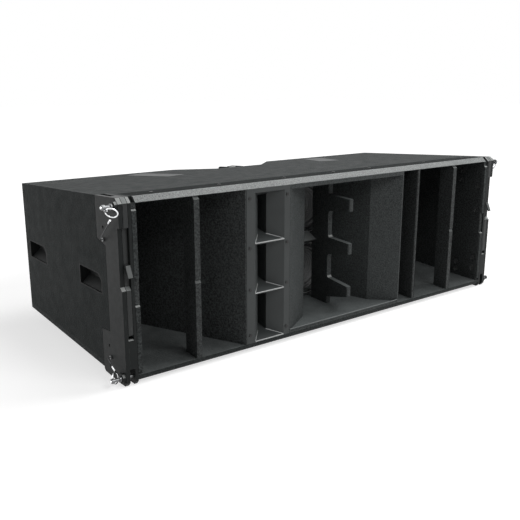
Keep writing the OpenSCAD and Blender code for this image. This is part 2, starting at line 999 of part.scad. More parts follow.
module pin_ring(side, z, turn) color(steel) cabinet_frame() at_pin(side, z, turn) {
  translate([eye_x, 0, -eye_drop]) rotate([0, -ring_lean, 0]) translate([-ring_r, 0, 0])
    rotate_extrude() translate([ring_r, 0]) circle(r = ring_wire, $fn = 24);
}

// ---- Rear rigging ----

module rear_rig_frame() color(paint) cabinet_frame() {
  difference() {
    union() {
      for (side = [-1, 1]) {
        on_side(side) side_prism(rear_plate_x, rear_plate_x + rear_plate_t) rear_plate_outline();
      }
      translate([-45, notch_y, -140]) cube([90, rear_back_t, 280]);
      for (side = [-1, 1]) {
        on_side(side) translate([rear_plate_x, notch_y + 1, -140]) cube([rear_plate_t, 14, 280]);
      }
    }
    for (z = [rear_pin_z, rear_mount_z]) {
      translate([0, rear_pin_y, z]) cyl_x(rear_pin_r + pin_clearance, -60, 60);
    }
  }
}

module rear_plate_outline() {
  polygon([
    [rear_plate_y0, -base_z],
    [rear_plate_y1 - 10, -base_z],
    [rear_plate_y1, -base_z + 10],
    [rear_plate_y1, top_z(rear_plate_y1) - 12],
    [rear_plate_y1 - 7, top_z(rear_plate_y1) - 1],
    [rear_plate_y0 + 6, top_z(rear_plate_y0) - 1],
    [rear_plate_y0, top_z(rear_plate_y0) - 8]
  ]);
}

// The link's narrow top fits inside the hollow foot of the link above
module rear_link() color(rough_paint) cabinet_frame() {
  half = rear_plate_x - 0.5;
  bottom = rear_pin_z + rear_pin_r + 0.3;
  difference() {
    union() {
      side_prism(-half, half) polygon([
        [448, bottom],
        [492, bottom],
        [492, 112],
        [486, 118],
        [454, 118],
        [448, 112]
      ]);
      side_prism(-rear_tongue_x, rear_tongue_x) polygon([
        [455, 110],
        [485, 110],
        [485, 152],
        [475, 162],
        [465, 162],
        [455, 152]
      ]);
    }
    translate([-rear_tongue_x - 1, 453, bottom - 1]) cube([2 * rear_tongue_x + 2, 34, 90 - bottom]);
    for (z = [rear_mount_z, rear_mount_z - rear_link_travel]) {
      translate([0, rear_pin_y, z]) cyl_x(rear_pin_r + pin_clearance, -half - 1, half + 1);
    }
  }
}

module rear_pin() color(steel) cabinet_frame() translate([0, rear_pin_y, rear_pin_z]) {
  reach = rear_plate_x + rear_plate_t;
  cyl_x(rear_pin_r, -reach - 6, reach + 12);
  cyl_x(8, reach + 0.5, reach + 4.5);
  translate([reach + 12, 0, 0]) cylinder(r = 4, h = 44, center = true);
}

// ---- Lanyards ----

function along(points, t) =
  let (k = min(floor(t), len(points) - 2))
  let (a = points[max(k - 1, 0)], b = points[k], c = points[k + 1], d = points[min(k + 2, len(points) - 1)])
  let (u = t - k)
  0.5 * (2 * b + (c - a) * u + (2 * a - 5 * b + 4 * c - d) * u * u + (3 * b - a - 3 * c + d) * u * u * u);
function unit(v) = v / norm(v);

module cable(points, across) {
  last = (len(points) - 1) * cable_steps;
  centres = [for (i = [0 : last]) along(points, i / cable_steps)];
  rings = [
    for (i = [0 : last])
      let (t = unit(centres[min(i + 1, last)] - centres[max(i - 1, 0)]))
      let (n = unit(cross(t, across)))
      let (b = cross(t, n))
      for (j = [0 : cable_sides - 1])
        centres[i] + cable_r * (cos(360 * j / cable_sides) * n + sin(360 * j / cable_sides) * b)
  ];
  walls = [
    for (i = [0 : last - 1])
      for (j = [0 : cable_sides - 1])
        let (k = (j + 1) % cable_sides)
        [i * cable_sides + k, i * cable_sides + j, (i + 1) * cable_sides + j, (i + 1) * cable_sides + k]
  ];
  cap_a = [for (j = [0 : cable_sides - 1]) j];
  cap_b = [for (j = [cable_sides - 1 : -1 : 0]) last * cable_sides + j];
  polyhedron(points = rings, faces = concat(walls, [cap_a, cap_b]), convexity = 6);
}

module lanyard(side, points, across) color(steel) cabinet_frame() on_side(side) {
  translate([half_w, 0, 0]) cable(points, across);
}

// ---- Fasteners ----

module rig_bolts() color(rubber) cabinet_frame() {
  for (side = [-1, 1]) {
    for (p = rig_bolt_places) {
      on_side(side) translate([0, p[0], p[1]]) {
        difference() {
          cyl_x(bolt_head_r, wall_in_x + bolt_sink - bolt_head_h, wall_in_x + bolt_sink);
          cyl_x(bolt_socket_r, wall_in_x, wall_in_x + bolt_sink - 2, $fn = 6);
        }
        cyl_x(bolt_r, wall_in_x + bolt_sink - 1, channel_x - 3);
      }
    }
  }
}

module lanyard_screws() color(steel) cabinet_frame() {
  for (side = [-1, 1]) {
    for (p = lanyard_screw_places) {
      on_side(side) translate([0, p[0], p[1]]) {
        cyl_x(lanyard_head_r, half_w, half_w + lanyard_head_h);
        cyl_x(lanyard_shank_r, half_w - 6, half_w + 1);
      }
    }
  }
}

module pan_screw(length) {
  cylinder(r = screw_head_r, h = screw_head_h);
  translate([0, 0, -length]) cylinder(r = screw_r, h = length + 1);
}

module panel_screws() color(rubber) cabinet_frame() {
  for (x = strip_screw_x) {
    at_strip_screw(x) pan_screw(9);
  }
  for (p = horn_screw_places) {
    translate([p[0], 0, p[1]]) rotate([90, 0, 0]) pan_screw(8);
  }
  for (p = plate_screw_places) {
    translate([p[0], cab_d - plate_recess, p[1]]) rotate([-90, 0, 0]) pan_screw(connector_t);
  }
}

top_panel();
bottom_panel();
side_wall(-1);  // side_wall_left
side_wall(1);  // side_wall_right
side_cheek(-1);  // side_cheek_left
side_cheek(1);  // side_cheek_right
rear_panel(-1);  // rear_panel_left
rear_panel(1);  // rear_panel_right
rear_notch_panel();
front_trim_bar();
top_grip_strip();
edge_pads();
handle_cups();
woofer_baffle(-1);  // woofer_baffle_left
woofer_baffle(1);  // woofer_baffle_right
woofer_chassis(-1);  // woofer_chassis_left
woofer_chassis(1);  // woofer_chassis_right
woofer_cones();
mouth_posts();
port_nose();
mid_horn_left();
mid_horn_right();
mid_horn_liners();
phase_comb();
mid_baffle();
mid_chassis();
mid_cones();
hf_horn();
hf_drivers();
crossover_board();
connector_plate();
line_sockets();
rig_outer(-1);  // rig_outer_left
rig_outer(1);  // rig_outer_right
rig_channel(-1);  // rig_channel_left
rig_channel(1);  // rig_channel_right
front_link(-1);  // front_link_left
front_link(1);  // front_link_right
rear_rig_frame();
rear_link();
rear_pin();
quick_pin(-1, upper_pin_z, upper_turn);  // pin_upper_left
quick_pin(-1, lower_pin_z, lower_turn);  // pin_lower_left
quick_pin(1, upper_pin_z, upper_turn);  // pin_upper_right
quick_pin(1, lower_pin_z, lower_turn);  // pin_lower_right
pin_button(-1, upper_pin_z, upper_turn);  // button_upper_left
pin_button(-1, lower_pin_z, lower_turn);  // button_lower_left
pin_button(1, upper_pin_z, upper_turn);  // button_upper_right
pin_button(1, lower_pin_z, lower_turn);  // button_lower_right
pin_ring(-1, upper_pin_z, upper_turn);  // ring_upper_left
pin_ring(-1, lower_pin_z, lower_turn);  // ring_lower_left
pin_ring(1, upper_pin_z, upper_turn);  // ring_upper_right
pin_ring(1, lower_pin_z, lower_turn);  // ring_lower_right
lanyard(-1, upper_lanyard, upper_across);  // lanyard_upper_left
lanyard(-1, lower_lanyard, lower_across);  // lanyard_lower_left
lanyard(1, upper_lanyard, upper_across);  // lanyard_upper_right
lanyard(1, lower_lanyard, lower_across);  // lanyard_lower_right
rig_bolts();
panel_screws();
lanyard_screws();
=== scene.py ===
import json
import math
import bmesh
import bpy
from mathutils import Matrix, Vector


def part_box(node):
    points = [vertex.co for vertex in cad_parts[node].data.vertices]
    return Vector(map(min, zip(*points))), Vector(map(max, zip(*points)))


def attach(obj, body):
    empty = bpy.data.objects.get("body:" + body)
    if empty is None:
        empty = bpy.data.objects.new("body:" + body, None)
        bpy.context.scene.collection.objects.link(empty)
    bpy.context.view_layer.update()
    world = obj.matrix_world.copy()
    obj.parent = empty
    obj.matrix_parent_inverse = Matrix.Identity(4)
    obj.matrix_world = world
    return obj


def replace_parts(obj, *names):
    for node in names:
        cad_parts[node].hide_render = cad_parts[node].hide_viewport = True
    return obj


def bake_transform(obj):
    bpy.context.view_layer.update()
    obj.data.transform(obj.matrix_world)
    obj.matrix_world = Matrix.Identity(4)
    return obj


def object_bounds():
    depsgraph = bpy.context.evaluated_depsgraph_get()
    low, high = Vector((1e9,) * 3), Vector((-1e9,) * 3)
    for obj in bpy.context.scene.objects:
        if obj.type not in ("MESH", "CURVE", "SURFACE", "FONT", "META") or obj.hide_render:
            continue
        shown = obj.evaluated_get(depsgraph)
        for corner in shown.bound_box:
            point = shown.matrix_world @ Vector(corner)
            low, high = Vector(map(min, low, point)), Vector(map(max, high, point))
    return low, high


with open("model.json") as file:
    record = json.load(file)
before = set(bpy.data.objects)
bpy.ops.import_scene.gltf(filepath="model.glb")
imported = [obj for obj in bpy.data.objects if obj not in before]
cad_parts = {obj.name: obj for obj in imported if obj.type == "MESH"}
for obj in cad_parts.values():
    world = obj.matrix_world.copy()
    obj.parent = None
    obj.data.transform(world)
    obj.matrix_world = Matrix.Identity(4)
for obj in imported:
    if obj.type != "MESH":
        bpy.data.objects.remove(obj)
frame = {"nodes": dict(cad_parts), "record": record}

CAD_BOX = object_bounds()
NODES = frame["nodes"]
MM = 0.001


# ---- The cabinet's own frame: y is 0 on the front plane and z is 0 at mid height ----

FRONT_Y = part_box("hf_horn")[0].y
_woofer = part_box("woofer_chassis_left")
MID_Z = (_woofer[0].z + _woofer[1].z) / 2


def at(x, y, z):
    """A point given in millimetres in the cabinet's own frame."""
    return Vector((x * MM, FRONT_Y + y * MM, MID_Z + z * MM))


# ---- Camera, at the photograph's viewing angle ----

SENSOR_WIDTH, LENS = 36, 48.73                     # in millimetres
CLIP_NEAR, CLIP_FAR = 0.01, 60
CAMERA_AZIMUTH, CAMERA_ELEVATION = -37.8285, 14.4768
CAMERA_PLACE = (-1.1949, FRONT_Y - 1.2053, MID_Z + 0.4097)


def make_camera():
    data = bpy.data.cameras.new("camera")
    data.sensor_width = SENSOR_WIDTH
    data.lens = LENS
    data.clip_start = CLIP_NEAR
    data.clip_end = CLIP_FAR
    cam = bpy.data.objects.new("camera", data)
    bpy.context.scene.collection.objects.link(cam)
    azimuth, elevation = math.radians(CAMERA_AZIMUTH), math.radians(CAMERA_ELEVATION)
    back = Vector((
        math.sin(azimuth) * math.cos(elevation),
        -math.cos(azimuth) * math.cos(elevation),
        math.sin(elevation),
    ))
    cam.location = CAMERA_PLACE
    cam.rotation_mode = "QUATERNION"
    cam.rotation_quaternion = (-back).to_track_quat("-Z", "Y")
    bpy.context.scene.camera = cam


make_camera()
bpy.context.scene.view_settings.view_transform = "Standard"


# ---- Small builders ----

def link(obj):
    bpy.context.scene.collection.objects.link(obj)
    return obj


def from_bmesh(name, bm, smooth_angle=None):
    mesh = bpy.data.meshes.new(name)
    bmesh.ops.recalc_face_normals(bm, faces=bm.faces)
    bm.to_mesh(mesh)
    bm.free()
    obj = link(bpy.data.objects.new(name, mesh))
    if smooth_angle is not None:
        shade(obj, smooth_angle)
    return obj


def shade(obj, angle):
    for p in obj.data.polygons:
        p.use_smooth = True
    obj.data.set_sharp_from_angle(angle=math.radians(angle))


def bevel(obj, width, segments=2, angle=30):
    mod = obj.modifiers.new("bevel", "BEVEL")
    mod.width = width * MM
    mod.segments = segments
    mod.limit_method = "ANGLE"
    mod.angle_limit = math.radians(angle)
    mod.harden_normals = True
    return mod


# ---- Materials ----

FORWARD_UP = (0, -0.7071, 0.7071)                  # the direction that 45 degree front chamfers face
UP = (0, 0, 1)


class Paint:
    """Builds one node material around a Principled shader, in object coordinates."""

    def __init__(self, name, color, rough, metal=0.0, spec=0.5):
        self.mat = bpy.data.materials.new(name)
        self.mat.use_nodes = True
        self.mat.diffuse_color = (*color, 1)
        self.tree = self.mat.node_tree
        self.bsdf = self.tree.nodes["Principled BSDF"]
        self.bsdf.inputs["Metallic"].default_value = metal
        self.bsdf.inputs["Specular IOR Level"].default_value = spec
        self.coords = self.tree.nodes.new("ShaderNodeTexCoord").outputs["Object"]
        self.color = self.rgb(color)
        self.rough = self.value(rough)
        self.height = None

    def node(self, kind, **props):
        n = self.tree.nodes.new(kind)
        for key, val in props.items():
            setattr(n, key, val)
        return n

    def rgb(self, color):
        n = self.node("ShaderNodeRGB")
        n.outputs[0].default_value = (*color, 1)
        return n.outputs[0]

    def value(self, number):
        n = self.node("ShaderNodeValue")
        n.outputs[0].default_value = number
        return n.outputs[0]

    def wire(self, a, b):
        self.tree.links.new(a, b)

    def stretched(self, scale):
        n = self.node("ShaderNodeMapping")
        n.inputs["Scale"].default_value = scale
        self.wire(self.coords, n.inputs["Vector"])
        return n.outputs["Vector"]

    def noise(self, scale, detail=2.0, roughness=0.5, coords=None):
        n = self.node("ShaderNodeTexNoise")
        n.inputs["Scale"].default_value = scale
        n.inputs["Detail"].default_value = detail
        n.inputs["Roughness"].default_value = roughness
        self.wire(coords or self.coords, n.inputs["Vector"])
        return n.outputs["Fac"]

    def cells(self, scale):
        n = self.node("ShaderNodeTexVoronoi", feature="F1")
        n.inputs["Scale"].default_value = scale
        self.wire(self.coords, n.inputs["Vector"])
        return n.outputs["Distance"]

    def ramp(self, fac, low, high, out_low=0.0, out_high=1.0):
        n = self.node("ShaderNodeMapRange")
        for key, val in zip(("From Min", "From Max", "To Min", "To Max"), (low, high, out_low, out_high)):
            n.inputs[key].default_value = val
        self.wire(fac, n.inputs["Value"])
        return n.outputs["Result"]

    def math(self, op, a, b):
        n = self.node("ShaderNodeMath", operation=op)
        for socket, v in zip(n.inputs, (a, b)):
            if isinstance(v, (int, float)):
                socket.default_value = v
            else:
                self.wire(v, socket)
        return n.outputs[0]

    def tint(self, fac, color, amount=1.0):
        """Mixes the colour towards another by fac."""
        n = self.node("ShaderNodeMix", data_type="RGBA")
        self.wire(self.math("MULTIPLY", fac, amount), n.inputs["Factor"])
        self.wire(self.color, n.inputs["A"])
        n.inputs["B"].default_value = (*color, 1)
        self.color = n.outputs["Result"]

    def roughen(self, fac, amount):
        """Adds to the roughness, above and below, by fac round a half."""
        shift = self.math("MULTIPLY", self.math("SUBTRACT", fac, 0.5), amount)
        self.rough = self.math("ADD", self.rough, shift)

    def raise_by(self, fac, depth):
        """Adds a bump of that depth in metres."""
        step = self.math("MULTIPLY", fac, depth)
        self.height = step if self.height is None else self.math("ADD", self.height, step)

    def edges(self, radius):
        """A mask of the sharp edges, from the Bevel node."""
        b = self.node("ShaderNodeBevel", samples=4)
        b.inputs["Radius"].default_value = radius
        g = self.node("ShaderNodeNewGeometry")
        dot = self.node("ShaderNodeVectorMath", operation="DOT_PRODUCT")
        self.wire(b.outputs["Normal"], dot.inputs[0])
        self.wire(g.outputs["Normal"], dot.inputs[1])
        return self.ramp(dot.outputs["Value"], 0.99, 0.8)

    def facing(self, direction, low, high):
        """A mask of the faces that look in a direction."""
        n = self.node("ShaderNodeTexCoord").outputs["Normal"]
        dot = self.node("ShaderNodeVectorMath", operation="DOT_PRODUCT")
        self.wire(n, dot.inputs[0])
        dot.inputs[1].default_value = direction
        return self.ramp(dot.outputs["Value"], low, high)

    def paint_chamfer_highlight(self, color):
        """Paints a highlight on the faces that lean back at 45 degrees at the front, by tinting them a
        lighter grey.
        """
        if color is not None:
            self.tint(self.facing(FORWARD_UP, 0.90, 0.97), color)

    def upward_tint(self, color):
        """Tints the faces that look up a patchy paler colour."""
        if color is not None:
            patches = self.ramp(self.noise(26, 4, 0.6), 0.3, 0.7, 0.55, 1.0)
            self.tint(self.math("MULTIPLY", self.facing(UP, 0.62, 0.95), patches), color)

    def done(self):
        self.wire(self.color, self.bsdf.inputs["Base Color"])
        self.wire(self.rough, self.bsdf.inputs["Roughness"])
        if self.height is not None:
            n = self.node("ShaderNodeBump")
            n.inputs["Strength"].default_value = 1.0
            n.inputs["Distance"].default_value = 1.0
            self.wire(self.height, n.inputs["Height"])
            self.wire(n.outputs["Normal"], self.bsdf.inputs["Normal"])
        return self.mat


def textured_paint(name, color, rough, grain, depth, wear=0.35, spec=0.5, speckle=0.5, chamfer_highlight=None,
                   upward_tint=None):
    """A rolled or sprayed structure paint: grain in cells per metre, depth in metres."""
    p = Paint(name, [c * (1 - speckle) for c in color], rough, spec=spec)
    p.tint(p.ramp(p.noise(grain * 0.8, 3, 0.7), 0.40, 0.60), [c * (1 + speckle) for c in color])
    cloud = p.noise(5, 3)
    p.tint(p.ramp(cloud, 0.35, 0.75), [c * 1.35 for c in color], 0.35)
    p.upward_tint(upward_tint)
    p.paint_chamfer_highlight(chamfer_highlight)
    p.roughen(p.noise(38, 3), 0.25)
    p.raise_by(p.noise(grain, 3, 0.6), depth)
    p.raise_by(p.cells(grain * 0.6), depth * 0.6)
    if wear:
        worn = p.math("MULTIPLY", p.edges(0.0012), p.ramp(p.noise(60, 4, 0.7), 0.48, 0.62))
        p.tint(worn, [min(1, c * 4 + 0.03) for c in color], wear)
    return p.done()


def metal_paint(name, color, rough, wear=0.5, spec=0.5, chamfer_highlight=None):
    """Powder coat: a fine orange peel with rubbed edges."""
    p = Paint(name, color, rough, spec=spec)
    p.paint_chamfer_highlight(chamfer_highlight)
    p.tint(p.ramp(p.noise(9, 3), 0.4, 0.7), [c * 1.4 for c in color], 0.5)
    p.roughen(p.noise(70, 3), 0.2)
    p.raise_by(p.noise(900, 2), 0.00012)
    scratches = p.noise(140, 2, 0.5, p.stretched((1, 7, 0.25)))
    p.tint(p.ramp(scratches, 0.66, 0.74), [c * 2.4 for c in color], 0.35)
    if wear:
        worn = p.math("MULTIPLY", p.edges(0.0009), p.ramp(p.noise(80, 4, 0.7), 0.45, 0.6))
        p.tint(worn, [min(1, c * 5 + 0.05) for c in color], wear)
    return p.done()


def bare_metal(name, color, rough, stretch=(1, 1, 1), grain=260):
    p = Paint(name, color, rough, metal=1.0)
    lines = p.noise(grain, 3, 0.6, p.stretched(stretch))
    p.roughen(lines, 0.18)
    p.raise_by(lines, 0.00002)
    p.tint(p.ramp(p.noise(30, 3), 0.5, 0.8), [c * 0.75 for c in color], 0.5)
    return p.done()


def moulded(name, color, rough, grain=1500, depth=0.00003, spec=0.5):
    """Moulded plastic with a fine spark-eroded grain."""
    p = Paint(name, color, rough, spec=spec)
    p.tint(p.ramp(p.noise(12, 2), 0.4, 0.7), [c * 1.3 for c in color], 0.5)
    p.roughen(p.noise(90, 2), 0.15)
    p.raise_by(p.noise(grain, 2), depth)
    return p.done()


CABINET = (0.021, 0.0238, 0.0238)
# Lighter greys painted on the 45 degree front chamfers as their highlight
SOFT_CHAMFER_HIGHLIGHT = (0.15, 0.16, 0.158)
BRIGHT_CHAMFER_HIGHLIGHT = (0.29, 0.30, 0.295)
UPWARD_TINT = (0.072, 0.078, 0.078)
MATERIALS = {
    "cabinet_paint": textured_paint("cabinet_paint", CABINET, 0.58, 420, 0.0006, spec=0.05, speckle=0.2),
    "inner_panel": textured_paint("inner_panel", (0.032, 0.035, 0.035), 0.62, 330, 0.0013, wear=0.2, spec=0.2,
                                  speckle=0.72, chamfer_highlight=SOFT_CHAMFER_HIGHLIGHT, upward_tint=UPWARD_TINT),
    "mouth_floor": textured_paint("mouth_floor", (0.024, 0.027, 0.027), 0.62, 380, 0.0010, wear=0.2, spec=0.1,
                                  upward_tint=(0.085, 0.092, 0.092)),
    # The edge bar's pale grey is a painted highlight: the bar is painted like the cabinet, and this paints in
    # the light its front chamfer catches
    "edge_bar": textured_paint("edge_bar", (0.126, 0.135, 0.133), 0.36, 520, 0.0009, wear=0.3, spec=0.4,
                               speckle=0.45),
    "grip_strip": textured_paint("grip_strip", (0.042, 0.046, 0.046), 0.75, 300, 0.0016, wear=0, spec=0.1,
                                 chamfer_highlight=BRIGHT_CHAMFER_HIGHLIGHT),
    "top_strip": textured_paint("top_strip", (0.016, 0.018, 0.018), 0.8, 300, 0.0016, wear=0, spec=0.04),
    "smooth_pad": moulded("smooth_pad", (0.030, 0.033, 0.033), 0.5, 700, 0.00003, spec=0.3),
    "handle_cup": moulded("handle_cup", (0.011, 0.012, 0.012), 0.55, spec=0.15),
    "driver_frame": metal_paint("driver_frame", (0.02, 0.02, 0.02), 0.4),
    "bezel": metal_paint("bezel", (0.24, 0.245, 0.245), 0.35),
    "cone": moulded("cone", (0.014, 0.014, 0.014), 0.75, 500, 0.0002),
    "mid_cone": moulded("mid_cone", (0.045, 0.047, 0.047), 0.6, 500, 0.0002),
    "horn_wall": textured_paint("horn_wall", (0.037, 0.041, 0.041), 0.6, 380, 0.0009, wear=0.2, spec=0.2,
                                chamfer_highlight=BRIGHT_CHAMFER_HIGHLIGHT, upward_tint=(0.098, 0.108, 0.108)),
    # A pale colour for the horn's web beads that paints the highlights along these edges
    "hf_lip_highlight": moulded("hf_lip_highlight", (0.34, 0.35, 0.35), 0.3, 900, 0.00002, spec=0.5),
    # A pale colour for the mid floor's edge bead that paints the highlight on that edge
    "floor_lip_highlight": moulded("floor_lip_highlight", (0.17, 0.18, 0.18), 0.45, 900, 0.00004, spec=0.2),
    "hf_horn": moulded("hf_horn", (0.039, 0.043, 0.043), 0.42, 900, 0.00006, spec=0.3),
    "circuit_board": moulded("circuit_board", (0.01, 0.07, 0.03), 0.4),
    "connector_plate": metal_paint("connector_plate", (0.015, 0.015, 0.016), 0.35, spec=0.3),
    "socket_plastic": moulded("socket_plastic", (0.012, 0.012, 0.014), 0.35),
    "rigging_paint": metal_paint("rigging_paint", (0.0165, 0.0182, 0.0182), 0.42, spec=0.10, chamfer_highlight=BRIGHT_CHAMFER_HIGHLIGHT),
    # A lighter copy of the rigging paint: painted light on the front links, which sit in shade between the
    # plates
    "link_paint_painted_light": metal_paint("link_paint_painted_light", (0.034, 0.036, 0.036), 0.42, spec=0.2, chamfer_highlight=SOFT_CHAMFER_HIGHLIGHT),
    "pin_steel": bare_metal("pin_steel", (0.16, 0.163, 0.166), 0.34),
    "ring_steel": bare_metal("ring_steel", (0.86, 0.87, 0.88), 0.16),
    "cable_steel": bare_metal("cable_steel", (0.085, 0.087, 0.09), 0.42),
    "black_screws": metal_paint("black_screws", (0.02, 0.02, 0.02), 0.35, wear=0.6, spec=0.3),
    "bolt_heads": metal_paint("bolt_heads", (0.07, 0.073, 0.073), 0.34, wear=0.6, spec=0.4),
}

for part in frame["record"]["subparts"]:
    obj = NODES[part["node"]]
    obj.data.materials.clear()
    obj.data.materials.append(MATERIALS[part["material_slot"]])

# Pieces whose finish differs from the rest of their slot
OWN_FINISH = {"top_grip_strip": "top_strip", "rig_bolts": "bolt_heads", "bottom_panel": "mouth_floor"}
for side in ("left", "right"):
    # The front links take the lighter copy of the rigging paint, painted light in the shade between the
    # plates
    OWN_FINISH[f"front_link_{side}"] = "link_paint_painted_light"
    for level in ("upper", "lower"):
        OWN_FINISH[f"ring_{level}_{side}"] = OWN_FINISH[f"button_{level}_{side}"] = "ring_steel"
for name, material in OWN_FINISH.items():
    NODES[name].data.materials[0] = MATERIALS[material]


def finish_as(piece, slot_name, body="cabinet", material=None):
    """Gives a piece its body and the material of the named slot, or the other material given."""
    piece.data.materials.clear()
    piece.data.materials.append(MATERIALS[material or slot_name])
    if body is not None:
        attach(piece, body)
    return piece


# ---- Rounded edges of the CAD pieces: node, width in millimetres ----

ROUNDED = {
    "front_trim_bar": 0.8, "top_panel": 1.5, "bottom_panel": 1.5, "edge_pads": 2.2, "mouth_posts": 1.6,
    "side_cheek_left": 1.2, "side_cheek_right": 1.2, "rear_notch_panel": 1.2, "port_nose": 1.0,
    "rear_panel_left": 0.8, "rear_panel_right": 0.8, "phase_comb": 3.0, "mid_horn_left": 1.2,
    "mid_horn_right": 1.2, "mid_baffle": 1.2, "hf_horn": 0.8,
    "rig_outer_left": 2.0, "rig_outer_right": 2.0, "rig_channel_left": 1.5, "rig_channel_right": 1.5,
    "front_link_left": 1.8, "front_link_right": 1.8, "rear_link": 0.8, "rear_rig_frame": 0.8,
    "handle_cups": 1.0, "connector_plate": 0.6, "line_sockets": 0.6, "rear_pin": 0.5,
}
for name, width in ROUNDED.items():
    bevel(NODES[name], width)
# One flat facet along the mid horn's floor and roof, which the chamfer mask paints lighter as a highlight
bevel(NODES["mid_horn_liners"], 2.0, segments=1)


# ---- Lanyards: the route's points, x from the plate's face, as in the part's source ----

HALF_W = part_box("rig_channel_right")[1].x / MM + 9
UPPER_ROUTE = (
    (13, 9, 147.5), (11.5, 19, 140.5), (10, 31, 131.5), (9.5, 44, 120.5), (9.5, 56, 109.5), (8, 67.5, 99.5),
    (2.6, 70, 98),
)
LOWER_ROUTE = (
    (9.5, 30.5, -168), (9.5, 36, -165.5), (9.5, 43, -162), (9, 50.5, -158.5), (8.5, 57.5, -155),
    (8, 62.5, -152.6), (2.6, 64, -152),
)
CABLE_R = 0.9 * MM


def spline(points, steps):
    """A smooth line through the points, with that many steps between two of them."""
    line = []
    last = len(points) - 1
    for i in range(last):
        a, b, c, d = (points[max(0, min(last, i + k))] for k in (-1, 0, 1, 2))
        for j in range(steps):
            u = j / steps
            line.append(0.5 * (
                2 * b + (c - a) * u + (2 * a - 5 * b + 4 * c - d) * u * u
                + (3 * b - a - 3 * c + d) * u ** 3
            ))
    return line + [points[-1]]


def frames_along(line, across):
    """Each point of a line with its direction and two sides square to it."""
    for i, p in enumerate(line):
        t = (line[min(i + 1, len(line) - 1)] - line[max(i - 1, 0)]).normalized()
        n = t.cross(across).normalized()
        yield p, t, n, t.cross(n)


def tube(bm, line, across, radius, sides=12, lobes=0, pitch=1.0):
    """Adds a closed tube along a line; lobes twist round it like the strands of a rope."""
    rings = []
    run = 0.0
    for i, (p, t, n, b) in enumerate(frames_along(line, across)):
        run += (line[i] - line[i - 1]).length if i else 0
        ring = []
        for k in range(sides):
            angle = 2 * math.pi * k / sides
            r = radius
            if lobes:
                r *= 0.90 + 0.10 * abs(math.cos(lobes / 2 * (angle + 2 * math.pi * run / pitch)))
            ring.append(bm.verts.new(p + r * (math.cos(angle) * n + math.sin(angle) * b)))
        rings.append(ring)
    for lower, upper in zip(rings, rings[1:]):
        for k in range(sides):
            j = (k + 1) % sides
            bm.faces.new((lower[k], lower[j], upper[j], upper[k]))
    bm.faces.new(rings[0])
    bm.faces.new(rings[-1])


def lathe(bm, centre, axis, profile, sides=32, closed=False):
    """Adds a turned shape: profile is (distance along the axis, radius) pairs in metres.
    An open profile runs from the axis to the axis, and a closed one goes round a ring's section."""
    axis = axis.normalized()
    side = axis.orthogonal().normalized()
    other = axis.cross(side)
    turn = 2 * math.pi / sides
    rings = []
    for along, radius in profile:
        rings.append([
            bm.verts.new(
                centre + axis * along
                + radius * (math.cos(turn * k) * side + math.sin(turn * k) * other)
            ) for k in range(sides)
        ])
    pairs = list(zip(rings, rings[1:]))
    if closed:
        pairs.append((rings[-1], rings[0]))
    else:
        bm.faces.new(rings[0])
        bm.faces.new(rings[-1])
    for lower, upper in pairs:
        for k in range(sides):
            j = (k + 1) % sides
            bm.faces.new((lower[k], lower[j], upper[j], upper[k]))


def arc(centre, radius, start, end, steps):
    """Points of an arc, as (distance along the axis, radius) pairs; angles in degrees."""
    return [
        (
            centre[0] + radius * math.sin(math.radians(start + (end - start) * i / steps)),
            centre[1] + radius * math.cos(math.radians(start + (end - start) * i / steps)),
        ) for i in range(steps + 1)
    ]


def turned(name, slot_name, places, profile, sides=48, closed=False, body="cabinet", angle=35,
           material=None):
    """One piece of turned shapes at places, each a centre and an axis; the profile is in millimetres."""
    bm = bmesh.new()
    for centre, axis in places:
        lathe(bm, centre, axis, [(a * MM, r * MM) for a, r in profile], sides, closed)
    return finish_as(from_bmesh(name, bm, angle), slot_name, body, material)


def rods(name, slot_name, lines, radius, across=Vector((0, 0, 1)), sides=12, material=None):
    """One piece of round rods along lines of points in metres."""
    bm = bmesh.new()
    for line in lines:
        tube(bm, line, across, radius * MM, sides)
    return finish_as(from_bmesh(name, bm, 50), slot_name, material=material)


def make_lanyard(side, level, route):
    k = -1 if side == "left" else 1
    points = [at(k * (HALF_W + x), y, z) for x, y, z in route]
    line = spline(points, 8)
    across = Vector((0, 1, 1)) if level == "upper" else Vector((0, -1, 1))
    bm = bmesh.new()
    tube(bm, line, across, CABLE_R, sides=24, lobes=6, pitch=0.012)
    cable = from_bmesh(f"cable_{level}_{side}", bm, 40)
    pin = f"pin_{level}_{side}"
    finish_as(cable, "cable_steel", body=None)
    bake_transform(cable)
    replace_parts(cable, f"lanyard_{level}_{side}")
    start = line[0]
    direction = (line[6] - line[0]).normalized()
    bm = bmesh.new()
    lathe(bm, start - direction * 0.001, direction, (
        (0, 0.0009), (0.0, 0.0019), (0.0005, 0.0024), (0.0030, 0.0024), (0.0036, 0.0021), (0.0050, 0.0021),
        (0.0056, 0.0024), (0.0090, 0.0024), (0.0095, 0.0021), (0.0108, 0.0021), (0.0113, 0.0024),
        (0.0126, 0.0024), (0.0131, 0.0019), (0.0131, 0.0009),
    ))
    ferrule = from_bmesh(f"ferrule_{level}_{side}", bm, 35)
    finish_as(ferrule, "pin_steel", pin, "ring_steel")


for side in ("left", "right"):
    make_lanyard(side, "upper", UPPER_ROUTE)
    make_lanyard(side, "lower", LOWER_ROUTE)


# ---- Woofers and mid drivers ----

# The woofers' centres on the back of their baffles, and the baffles' turn
WOOFERS = {"left": (-1, 482.5, 353.0), "right": (1, 460.5, 353.0)}
BAFFLE_TURN = math.radians(30)
MID_X, MID_DRIVER_Y, MID_DRIVER_Z = 24.5, 177, 84


